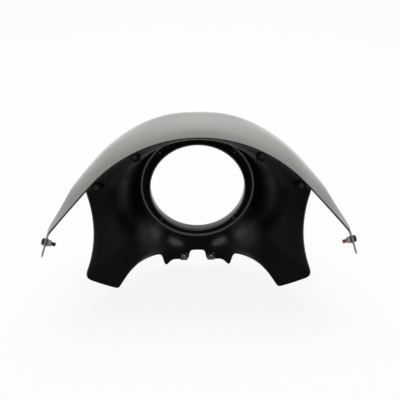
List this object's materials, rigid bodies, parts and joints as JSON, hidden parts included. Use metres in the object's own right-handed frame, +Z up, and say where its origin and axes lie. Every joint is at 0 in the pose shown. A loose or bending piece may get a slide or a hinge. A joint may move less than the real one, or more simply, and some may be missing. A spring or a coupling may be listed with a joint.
{
  "type": "headlight cowl",
  "caption": "Moulded cowl that frames a round motorbike headlight under a glossy brow with two bolted arms.",
  "frame": {"origin": "on the lamp's axis, at the back of the flat seat that carries the lamp ring", "axes": "+Y along the lamp's axis to the rear, so the lamp looks towards -Y; +Z up; +X across the cowl"},
  "size_m": [0.4922, 0.24, 0.2902],
  "materials": {
    "body": "fine-grained satin black",
    "brow": "high gloss graphite",
    "lamp_ring": "satin charcoal",
    "black_screws": "black oxide",
    "plated_screws": "zinc plated",
    "clips": "plated spring steel"
  },
  "bodies": {
    "root": {"body": "body", "brow": "brow", "lamp_ring": "lamp_ring", "ring_screws": "black_screws", "brow_screws": "plated_screws", "arm_bolts": "black_screws", "arm_washers": "plated_screws", "arm_nuts": "plated_screws", "lip_clips": "clips"}
  },
  "joints": []
}
